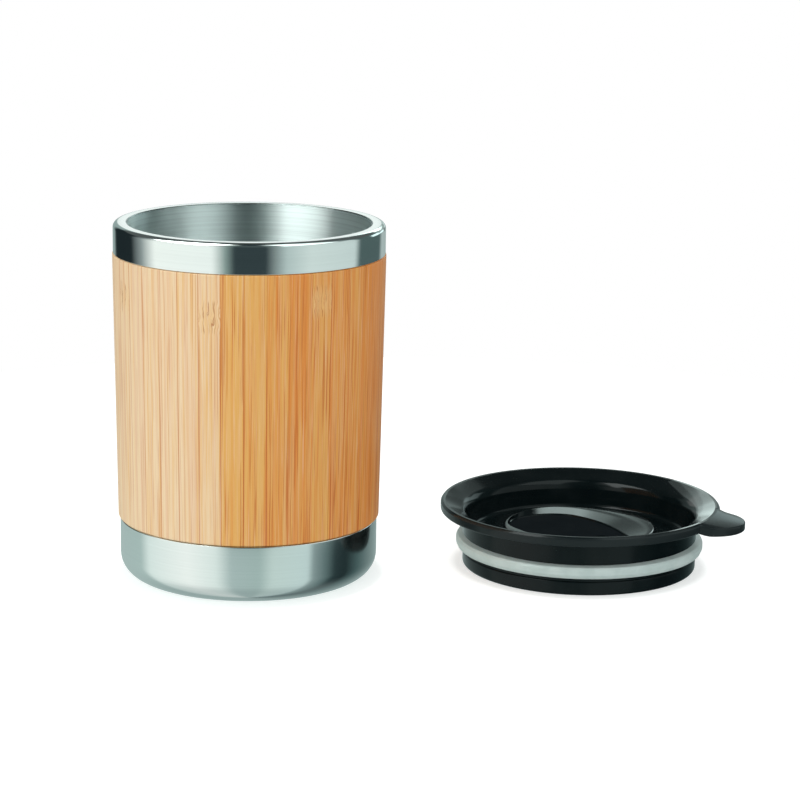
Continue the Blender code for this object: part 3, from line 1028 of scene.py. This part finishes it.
@dataclass
class LidShell:
    """The flared lid: a well, a lip, a flange with its lift tab, and the plug with its seal groove."""

    hub_hole: float = 4.2
    floor: float = 9.2
    floor_thick: float = 1.8
    well: float = 35.51
    well_draft: float = 0.8
    well_corner: float = 1.5
    lip_start: float = 17.6
    lip_round: float = 4.0
    crest: Point = (43.3, 20.72)
    crest_land: Point = (44.25, 20.78)
    flange: float = 44.85
    flange_top: float = 20.0
    flange_bottom: float = 17.5
    flange_round: float = 0.8
    plug: float = 37.51
    groove_top: float = 10.0
    groove_bottom: float = 5.7
    groove: float = 35.71
    skirt_end: float = 4.6
    skirt_inner: float = 33.71
    step_outer: Point = (43.6, 46.0)
    step_inner: Point = (42.6, 43.4)
    openings: tuple[Opening, ...] = (DRINK_HOLE, Opening((25.83, 12.04), 1.6, 1.59))
    tab: LiftTab = field(default_factory=LiftTab)
    tab_blend: float = 3.4
    tab_step: float = 0.3
    tab_spans: int = 112
    other_spans: int = 168

    def angles(self) -> list[float]:
        """Give the directions of the loft's sections, closer together at the tab."""
        half = self.tab_spans // 2
        fine = [self.tab.angle + step * self.tab_step for step in range(-half, half + 1)]
        rest = 360.0 - (fine[-1] - fine[0])
        return fine + [fine[-1] + rest * step / self.other_spans for step in range(1, self.other_spans)]

    def section(self, angle: float) -> list[Point]:
        """Give the lid's section in one direction.

        Args:
            angle: The direction, in degrees.

        Returns:
            The section's points, the same number in every direction.
        """
        edge = self.tab.reach(angle, self.flange)
        share = smooth(0.0, self.tab_blend, edge - self.flange)

        def between(plain: float, on_tab: float) -> float:
            """Blend a size of the plain edge with that of the tab."""
            return plain + (on_tab - plain) * share

        tab, low = self.tab, self.flange_bottom
        crest_r, crest_z = self.crest
        land_r, land_z = self.crest_land
        corners = [
            (self.hub_hole, self.floor, 0),
            (self.well, self.floor, self.well_corner),
            (self.well + self.well_draft, self.lip_start, self.lip_round),
            (crest_r, crest_z, 0.6),
            (land_r, between(land_z, crest_z - 0.08), between(0.25, 1.0)),
            (edge, between(self.flange_top, tab.top), between(0.5, 0.55)),
            (edge, between(low, tab.bottom), between(0.7, 0.6)),
            (between(*self.step_outer), between(low, tab.bottom), between(0.05, 1.2)),
            (between(*self.step_inner), low, between(0.05, 1.2)),
            (self.plug, low, self.flange_round),
            (self.plug, self.groove_top, 0.2),
            (self.groove, self.groove_top, 0),
            (self.groove, self.groove_bottom, 0),
            (self.plug, self.groove_bottom, 0.15),
            (self.plug, self.skirt_end, 0.15),
            (self.skirt_inner, self.skirt_end, 0),
            (self.skirt_inner, self.floor - self.floor_thick, 0.8),
            (self.hub_hole, self.floor - self.floor_thick, 0),
        ]
        return rounded(corners, 8)

    def build(self, finishes: Finishes) -> None:
        """Loft the shell, cut its drink hole and vent, and dress it.

        Args:
            finishes: The part's finishes.
        """
        sections = [swung(self.section(angle), math.radians(angle)) for angle in self.angles()]
        shell = loft("lid_with_tab", sections, True)
        for opening in self.openings:
            carve(shell, prism(opening.outline(), self.floor - self.floor_thick - 1, self.floor + 0.5))
        stand_by_cup(shell)
        dress(shell, finishes.plastic, Body.LID, Slot.PLASTIC, "lid_shell")


@dataclass
class LidBase:
    """The floor that closes the lid's plug, with the drink passage through it."""

    radius: float = 37.51
    height: float = 4.4
    foot_round: float = 1.0
    floor: float = 1.6
    wall: Point = (31.91, 33.41)
    wall_top: float = 7.1
    ledge: float = 35.51
    passage: Opening = DRINK_HOLE
    passage_wall: float = 1.2

    def build(self, finishes: Finishes) -> None:
        """Turn the floor, raise and bore the passage, and dress it.

        Args:
            finishes: The part's finishes.
        """
        inner, outer = self.wall
        corners = [
            (0.0, self.floor, 0),
            (inner, self.floor, 0.3),
            (inner, self.wall_top, 0.2),
            (outer, self.wall_top, 0.2),
            (outer, self.floor, 0),
            (self.ledge, self.floor, 0),
            (self.ledge, self.height, 0.15),
            (self.radius, self.height, 0.25),
            (self.radius, 0.0, self.foot_round),
            (0.0, 0.0, 0),
        ]
        base = turned("lid_floor", rounded(corners), False)
        chimney = self.passage.outline(self.passage_wall)
        carve(base, prism(chimney, self.floor / 2, self.wall_top), "UNION")
        carve(base, prism(self.passage.outline(), -1.0, self.wall_top + 1))
        stand_by_cup(base)
        dress(base, finishes.plastic, Body.LID, Slot.PLASTIC, "lid_base")


@dataclass
class LidSeal:
    """The silicone ring in the plug's groove."""

    inner: float = 35.91
    outer: float = 39.71
    low: float = 5.9
    high: float = 9.5
    nip: float = 0.55
    foot: float = 1.2
    brow: float = 0.9

    def build(self, finishes: Finishes) -> None:
        """Turn and dress the ring.

        Args:
            finishes: The part's finishes.
        """
        corners = [
            (self.inner, self.low, 0.2),
            (self.outer - self.nip, self.low, 0.4),
            (self.outer, self.low + self.foot, 0.7),
            (self.outer, self.high - self.brow, 0.7),
            (self.outer - self.nip, self.high, 0.4),
            (self.inner, self.high, 0.2),
        ]
        ring = turned("seal_ring", rounded(corners, 8, True), True)
        stand_by_cup(ring)
        ring.visible_glossy = False
        dress(ring, finishes.silicone, Body.LID, Slot.SILICONE, "lid_seal")


def spaced(points: Sequence[Point], count: int, fine: int = 24) -> list[Vector]:
    """Draw a soft curve through points and space it evenly.

    Args:
        points: The points, in order.
        count: How many points come back.
        fine: Steps from each point to the next before they are spaced.

    Returns:
        Evenly spaced points of the curve.
    """
    knots = [Vector(p) for p in points]
    knots = [knots[0] * 2 - knots[1], *knots, knots[-1] * 2 - knots[-2]]
    track = []
    for a, b, c, d in zip(knots, knots[1:], knots[2:], knots[3:]):
        square, cube = 2 * a - 5 * b + 4 * c - d, 3 * b - a - 3 * c + d
        for t in (step / fine for step in range(fine)):
            track.append(0.5 * (2 * b + (c - a) * t + square * t**2 + cube * t**3))
    track.append(knots[-2])
    lengths = [0.0]
    for start, end in zip(track, track[1:]):
        lengths.append(lengths[-1] + (end - start).length)
    spots, at = [], 0
    for index in range(count):
        goal = lengths[-1] * index / (count - 1)
        while at < len(track) - 2 and lengths[at + 1] < goal:
            at += 1
        run = lengths[at + 1] - lengths[at]
        spots.append(track[at].lerp(track[at + 1], (goal - lengths[at]) / run if run else 0.0))
    return spots


@dataclass
class SipDial:
    """The turning dial: a thumb hollow with sloped sides, a raised bead along it, and the sip slot."""

    radius: float = 24.4
    top: float = 12.8
    underside: float = 10.2
    edge_round: float = 0.8
    land: float = 2.2
    hollow: float = 11.45
    bead_top: float = 12.0
    bead_half: float = 0.40
    gutter: float = 0.35
    hub: float = 4.0
    hub_neck: float = 3.2
    hub_neck_low: float = 5.9
    hub_neck_high: float = 7.1
    hub_low: float = 4.6
    slot: Opening = Opening((6.869, -13.242), 10.0, 6.4, -43.0)
    floor_gap: float = 0.1
    count: int = 96
    far_brink: tuple[Point, ...] = (
        (-22.3, 6.6), (-20.6, 10.9), (-17.6, 15.2), (-13.3, 19.0), (-8.6, 21.5), (-4.4, 22.2),
        (0.9, 20.7), (6.7, 16.4), (12.1, 9.9), (16.6, 3.8), (19.3, -2.5), (19.6, -9.0), (17.6, -14.2),
        (15.6, -16.8),
    )
    far_bead: tuple[Point, ...] = (
        (-22.0, 6.4), (-20.0, 11.2), (-17.0, 14.2), (-13.3, 16.2), (-9.8, 17.1), (-6.4, 17.4),
        (-3.0, 16.9), (0.2, 15.6), (2.9, 13.2), (5.5, 10.0), (8.0, 6.1), (10.3, 1.0), (12.2, -5.0),
        (13.6, -10.5), (15.2, -16.6),
    )
    near_brink: tuple[Point, ...] = (
        (15.6, -16.8), (8.0, -21.2), (0.0, -20.3), (-9.0, -17.0), (-16.6, -10.6), (-21.3, -2.7),
        (-22.8, 2.4), (-22.3, 6.6),
    )
    near_floor: tuple[Point, ...] = (
        (15.2, -16.6), (8.0, -20.2), (0.0, -19.2), (-8.6, -15.9), (-15.8, -9.8), (-20.3, -2.3),
        (-21.8, 2.6), (-22.0, 6.4),
    )

    @staticmethod
    def ring(far: Sequence[Vector], near: Sequence[Vector], height: float) -> list[Vector]:
        """Join a far and a near curve into one closed ring at a height."""
        return [spot.to_3d() + Vector((0, 0, height)) for spot in [*far, *near[1:-1]]]

    @staticmethod
    def beside(line: Sequence[Vector], off: float) -> list[Vector]:
        """Move a curve sideways, less and less towards its ends.

        Args:
            line: The curve's points.
            off: How far, outwards from the middle of the hollow.

        Returns:
            The moved points.
        """
        moved = []
        last = len(line) - 1
        for index, spot in enumerate(line):
            way = (line[min(index + 1, last)] - line[max(index - 1, 0)]).normalized()
            out = Vector((-way.y, way.x))
            taper = smooth(0.0, 0.06, min(index, last - index) / last)
            moved.append(spot + out * off * taper)
        return moved

    def edge_rings(self, start: Sequence[Vector]) -> list[list[Vector]]:
        """Give the rings of the rim, the underside and the hub, matched to the brink's points.

        Args:
            start: The brink's ring.

        Returns:
            Rings from the top's outer edge to the hub's end.
        """
        corners = [
            (self.radius - self.land, self.top, 0),
            (self.radius, self.top, self.edge_round),
            (self.radius, self.underside, 0.25),
            (self.hub, self.underside, 0.1),
            (self.hub, self.hub_neck_high, 0.1),
            (self.hub_neck, self.hub_neck_high, 0.1),
            (self.hub_neck, self.hub_neck_low, 0.1),
            (self.hub, self.hub_neck_low, 0.1),
            (self.hub, self.hub_low, 0.6),
            (0.0, self.hub_low, 0),
        ]
        return hoops(rounded(corners, 5)[1:], [math.atan2(spot.y, spot.x) for spot in start])

    def build(self, finishes: Finishes) -> None:
        """Loft the dial's top, rim and hub, cut the sip slot, and dress it.

        Args:
            finishes: The part's finishes.
        """
        lines = (self.far_brink, self.far_bead, self.near_brink, self.near_floor)
        far_brink, far_bead, near_brink, near_floor = (spaced(line, self.count) for line in lines)
        brink = self.ring(far_brink, near_brink, self.top)
        rings = [*reversed(self.edge_rings(brink)), brink]
        for off, height in self.bead_section():
            ring = self.ring(self.beside(far_bead, off), self.beside(near_floor, off), self.hollow)
            for spot in ring[1 : self.count - 1]:
                spot.z += height
            rings.append(ring)
        dial = self.floored(rings)
        carve(dial, prism(self.slot.outline(), self.underside - 1, self.top + 1))
        stand_by_cup(dial)
        dress(dial, finishes.plastic, Body.DIAL, Slot.PLASTIC, "sip_dial")
        dial.data.materials.append(finishes.matt_plastic)
        for face in dial.data.polygons:
            level = abs(face.center.z / MM - self.hollow) < self.floor_gap
            face.material_index = int(level and face.normal.z > 0.99)

    def bead_section(self) -> list[Point]:
        """Give the bead's section from the gutter over its top: distance from its line, and height."""
        half, rise = self.bead_half, self.bead_top - self.hollow
        return [
            (half + self.gutter, 0.0),
            (half, 0.0),
            (half * 0.75, rise * 0.66),
            (0.0, rise),
            (-half * 0.75, rise * 0.66),
            (-half, 0.05),
            (-half - 0.1, 0.05),
        ]

    def floored(self, rings: Sequence[Sequence[Vector]]) -> bpy.types.Object:
        """Skin the rings and floor the hollow across from its far to its near side.

        Args:
            rings: The rings from the hub's end to the hollow's floor.

        Returns:
            The dial before its slot is cut.
        """
        shape = bmesh.new()
        inner = skin(shape, rings)[-1]
        count = len(inner)
        for i in range(self.count - 1):
            across = inner[(count - i - 1) % count], inner[(count - i) % count]
            corners = list(dict.fromkeys((inner[i], inner[i + 1], *across)))
            if len(corners) > 2:
                shape.faces.new(corners)
        return new_object("dial_with_hollow", shape)


@dataclass
class HiddenParts:
    """The nodes whose solids are right as they are: the second wall, the dial's pad and its clip."""

    steel: tuple[str, ...] = ("outer_wall", "wall_bottom")
    silicone: tuple[str, ...] = ("dial_seal",)
    plastic: tuple[str, ...] = ("dial_clip",)

    def dress(self, finishes: Finishes) -> None:
        """Give each node its finish.

        Args:
            finishes: The part's finishes.
        """
        for names, finish in (
            (self.steel, finishes.base_steel),
            (self.silicone, finishes.silicone),
            (self.plastic, finishes.plastic),
        ):
            for name in names:
                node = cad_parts[name]
                node.data.materials.clear()
                node.data.materials.append(finish)
                log.info("%s keeps its solid", name)


@dataclass(frozen=True)
class Panel:
    """A soft-edged patch of the reflection screen, placed by its angle from the screen's back."""

    middle: float
    half: float
    low: float
    high: float
    glow: Triple
    fade: float = 15.0
    share: float = 1.0
    side_fade: float = 2.5

    def over(self, shader: Shader, angle: Term, up: Term, colour: Term) -> Term:
        """Lay the patch over the screen's colour.

        Args:
            shader: The material in the making.
            angle: The angle from the screen's back, in degrees.
            up: The height, in millimetres.
            colour: The colour underneath.

        Returns:
            The colour with the patch.
        """
        off = abs(((angle - self.middle) / 360.0).turns() * 360.0)
        wide = off.rise(self.half - self.side_fade, self.half + self.side_fade, 1.0, 0.0)
        tall = up.rise(self.low - self.fade, self.low) - up.rise(self.high, self.high + self.fade)
        return shader.mix(wide * tall * self.share, colour, (*self.glow, 1.0))


@dataclass(frozen=True)
class Lamp:
    """A soft lamp. A glint shows only in reflections, and any other lamp only lights."""

    name: str
    place: Triple
    size: Point
    watts: float
    warm: Triple
    aim: Triple = (45.0, 0.0, 50.0)
    glint: bool = False

    def hang(self) -> None:
        """Hang the lamp and turn it to the point that it faces."""
        light = bpy.data.lights.new(self.name, "AREA")
        light.shape, light.size, light.size_y = "RECTANGLE", self.size[0] * MM, self.size[1] * MM
        light.energy, light.color, light.use_shadow = self.watts, self.warm, self.glint
        held = bpy.data.objects.new(self.name, light)
        held.location = Vector(self.place) * MM
        way = Vector(self.aim) * MM - held.location
        held.rotation_euler = way.to_track_quat("-Z", "Y").to_euler()
        held.visible_glossy, held.visible_diffuse = self.glint, not self.glint
        bpy.context.scene.collection.objects.link(held)

    def shrunk(self, number: int, share: float, gap: float) -> "Lamp":
        """Give a smaller lamp of the same glow behind this one.

        Args:
            number: Its number, from 1.
            share: Its size as a share of this one's.
            gap: How far each number stands behind the one before.

        Returns:
            The lamp.
        """
        x, y, z = self.place
        return replace(
            self,
            name=f"{self.name}_{number}",
            place=(x, y + gap * (number - 1), z),
            size=(self.size[0] * share, self.size[1] * share),
            watts=self.watts * share * share,
        )


@dataclass
class Studio:
    """A white table, soft lamps, a screen and a strip that only reflections see, and the camera."""

    camera_place: Triple = (-63.534, -841.188, 245.543)
    yaw: float = 7.53885
    pitch: float = 12.66780
    roll: float = 0.86015
    lens: float = 123.6477
    sensor: float = 36.0
    clip: Point = (0.01, 20.0)
    lamps: tuple[Lamp, ...] = (
        Lamp("key_left", (-900.0, -420.0, 620.0), (800.0, 700.0), 6.6, (1.0, 0.99, 0.97)),
        Lamp("fill_right", (700.0, -800.0, 500.0), (700.0, 700.0), 4.0, (1.0, 1.0, 1.0)),
    )
    strip: Lamp = Lamp(
        "strip_behind_lid",
        place=(149.2, 23.8, 30.0),
        size=(16.0, 36.0),
        watts=0.0012672,
        warm=(0.84, 1.0, 0.97),
        aim=(141.7, -75.9, 30.0),
        glint=True,
    )
    strip_shares: Triple = (1.0, 0.7, 0.4)
    strip_gap: float = 2.0
    table_radius: float = 330.0
    table_place: Triple = (45.0, 0.0, -0.05)
    table_albedo: Colour = (0.87, 0.90, 0.895, 1.0)
    table_glow: float = 0.55
    contact: float = 6.2
    contact_from: float = 0.66
    contact_dark: float = 0.58
    screen_radius: float = 450.0
    screen_low: float = -260.0
    screen_high: float = 740.0
    ambient: float = 0.50
    low_glow: tuple[Stop, ...] = (
        (-180, (0.40, 0.50, 0.49)), (-108, (0.43, 0.55, 0.53)), (-96, (0.76, 0.87, 0.84)),
        (-54, (0.95, 1.0, 0.97)), (-28, (0.78, 0.88, 0.85)), (-15, (0.42, 0.53, 0.52)),
        (9, (0.39, 0.51, 0.49)), (20, (0.58, 0.71, 0.68)), (52, (0.57, 0.71, 0.70)),
        (57, (0.24, 0.32, 0.32)), (70, (0.11, 0.17, 0.17)), (80, (0.022, 0.04, 0.043)),
        (94, (0.015, 0.028, 0.03)), (112, (0.07, 0.12, 0.12)), (180, (0.40, 0.50, 0.49)),
    )
    middle_glow: tuple[Stop, ...] = (
        (-180, (0.30, 0.39, 0.38)), (-154, (0.30, 0.39, 0.38)), (-145, (0.014, 0.022, 0.025)),
        (-112, (0.014, 0.022, 0.025)), (-98, (0.28, 0.33, 0.33)), (-82, (0.98, 1.04, 1.0)),
        (-30, (0.94, 1.01, 0.98)), (-19, (0.25, 0.34, 0.32)), (-12, (0.035, 0.053, 0.058)),
        (13, (0.035, 0.053, 0.058)), (30, (0.49, 0.60, 0.59)), (50, (0.67, 0.78, 0.76)),
        (95, (0.60, 0.71, 0.70)), (102, (0.08, 0.125, 0.125)), (136, (0.08, 0.125, 0.125)),
        (144, (0.42, 0.51, 0.50)), (180, (0.30, 0.39, 0.38)),
    )
    panels: tuple[Panel, ...] = (
        Panel(0, 75, 320, 900, (0.09, 0.105, 0.105), 30),
        Panel(0, 10, 160, 245, (0.92, 1.0, 0.98)),
        Panel(-26, 4, 60, 135, (0.20, 0.245, 0.24), 12),
        Panel(-38, 6, 100, 155, (1.0, 1.28, 1.28)),
        Panel(-52, 8, 100, 215, (1.0, 1.28, 1.28)),
        Panel(-21, 8, 155, 200, (0.26, 0.32, 0.31), 20),
        Panel(-21, 8, 222, 250, (1.0, 1.25, 1.2), 34),
        Panel(-20, 9, 252, 290, (3.2, 3.9, 3.8), 25),
        Panel(-18, 6, 130, 148, (0.8, 1.0, 0.96), 8),
        Panel(180, 100, 370, 620, (0.10, 0.13, 0.13), 40, 0.6),
        Panel(113, 30, 420, 900, (5.0, 5.4, 5.3), 40),
        Panel(-122, 28, 420, 900, (1.45, 1.65, 1.62), 40),
    )
    ceiling_glow: Colour = (0.012, 0.02, 0.022, 1.0)
    floor_glow: Colour = (0.25, 0.32, 0.32, 1.0)

    def camera(self) -> None:
        """Place the camera at the photograph's angle."""
        yaw, pitch, roll = (math.radians(a) for a in (self.yaw, self.pitch, self.roll))
        level_run = math.cos(pitch)
        ahead = Vector((math.sin(yaw) * level_run, math.cos(yaw) * level_run, -math.sin(pitch)))
        level = Vector((math.cos(yaw), -math.sin(yaw), 0))
        upright = level.cross(ahead)
        right = level * math.cos(roll) + upright * math.sin(roll)
        up = upright * math.cos(roll) - level * math.sin(roll)
        lens = bpy.data.cameras.new("camera")
        lens.lens, lens.sensor_width = self.lens, self.sensor
        lens.clip_start, lens.clip_end = self.clip
        held = bpy.data.objects.new("camera", lens)
        turn = Matrix((right, up, -ahead)).transposed().to_4x4()
        held.matrix_world = Matrix.Translation(Vector(self.camera_place) * MM) @ turn
        bpy.context.scene.collection.objects.link(held)
        bpy.context.scene.camera = held

    @staticmethod
    def seen(shader: Shader) -> Term:
        """Give 1 for rays from the camera, in reflections or through clear things, and 0 for light.

        Args:
            shader: The material in the making.

        Returns:
            The switch.
        """
        kinds = ("Is Camera Ray", "Is Glossy Ray", "Is Transmission Ray")
        camera, glossy, clear = (shader.node("ShaderNodeLightPath", output=kind) for kind in kinds)
        return camera.larger(glossy).larger(clear)

    def world(self) -> None:
        """Make the white surround that the camera sees and the dimmer one that lights the part."""
        world = bpy.data.worlds.new("white_surround")
        shader = Shader("", world)
        light = self.seen(shader) * (1.0 - self.ambient) + self.ambient
        sky = shader.node("ShaderNodeBackground", None, {"Color": shader.vector(light, light, light)})
        shader.close(sky, "ShaderNodeOutputWorld")
        bpy.context.scene.world = world

    def table(self) -> None:
        """Lay the white table, which keeps the part's shadow and leaves reflections to the screen."""
        shader = Shader("white_table")
        cloth = shader.node("ShaderNodeBsdfDiffuse", None, {"Color": self.table_albedo})
        reach = {"Distance": self.contact * MM}
        clear = shader.node("ShaderNodeAmbientOcclusion", {"samples": 16}, reach, "AO")
        shade = clear.rise(self.contact_from, 1.0, self.contact_dark, 1.0)
        light = self.seen(shader) * self.table_glow * shade
        glow = shader.node("ShaderNodeEmission", None, {"Color": shader.vector(light, light, light)})
        both = shader.node("ShaderNodeAddShader", None, {0: cloth, 1: glow})
        table = turned("table", [(0.0, 0.0), (self.table_radius, 0.0)], False, 96)
        table.location = Vector(self.table_place) * MM
        table.data.materials.append(shader.close(both))
        table.visible_glossy = False

    @staticmethod
    def around(shader: Shader, share: Term, stops: Sequence[Stop]) -> Term:
        """Colour the screen by the angle from the camera's side.

        Args:
            shader: The material in the making.
            share: The angle, 0 to 1 for a full turn.
            stops: Angle in degrees and colour of each stop.

        Returns:
            The colour.
        """
        places = [((angle + 180.0) / 360.0, (*colour, 1.0)) for angle, colour in stops]
        return shader.node("ShaderNodeValToRGB", {"stops": places}, {0: share})

    def screen(self) -> None:
        """Stand a screen all round that only reflections see, bright with dark gaps."""
        shader = Shader("reflection_screen")
        x, y, z = shader.place()
        up = z / MM
        share = y.angle(x) / TURN + 0.5
        middle, low = (self.around(shader, share, glow) for glow in (self.middle_glow, self.low_glow))
        radius = (x * x + y * y) ** 0.5 / MM
        wide, bottom, top = self.screen_radius, self.screen_low, self.screen_high
        floor = shader.mix(radius.rise(120.0, 440.0, 0.5, 0.05), low, self.floor_glow)
        colour = shader.mix(up.rise(bottom + 5.0, bottom + 30.0), floor, low)
        colour = shader.mix(up.rise(-70.0, -20.0), colour, middle)
        behind = share * 360.0
        for panel in self.panels:
            colour = panel.over(shader, behind, up, colour)
        ceiling = up.rise(top - 10.0, top - 2.0) * radius.rise(110.0, 190.0, 1.0, 0.0)
        colour = shader.mix(ceiling, colour, self.ceiling_glow)
        glow = shader.node("ShaderNodeEmission", None, {"Color": colour, "Strength": 1.0})
        section = [(0.0, bottom), (wide, bottom), (wide, top), (0.0, top)]
        screen = turned("reflection_screen", section, False, 128)
        screen.rotation_euler.z = math.atan2(self.camera_place[1], self.camera_place[0])
        screen.data.materials.append(shader.close(glow))
        for ray in ("camera", "diffuse", "shadow", "transmission", "volume_scatter"):
            setattr(screen, f"visible_{ray}", False)

    def build(self) -> None:
        """Set the whole studio up."""
        self.camera()
        self.world()
        self.table()
        self.screen()
        for lamp in self.lamps:
            lamp.hang()
        for number, share in enumerate(self.strip_shares, 1):
            self.strip.shrunk(number, share, self.strip_gap).hang()
        bpy.context.scene.view_settings.view_transform = "Standard"


def main() -> None:
    """Build the studio and every piece."""
    logging.basicConfig(level=logging.INFO, format="%(message)s")
    finishes = Finishes.make()
    Studio().build()
    lid = (LidShell(), LidBase(), LidSeal(), SipDial())
    for assembly in (SteelLiner(), SteelBase(), BambooSleeve(), *lid):
        log.info("building %s", type(assembly).__name__)
        assembly.build(finishes)
    HiddenParts().dress(finishes)


if __name__ == "__main__":
    main()
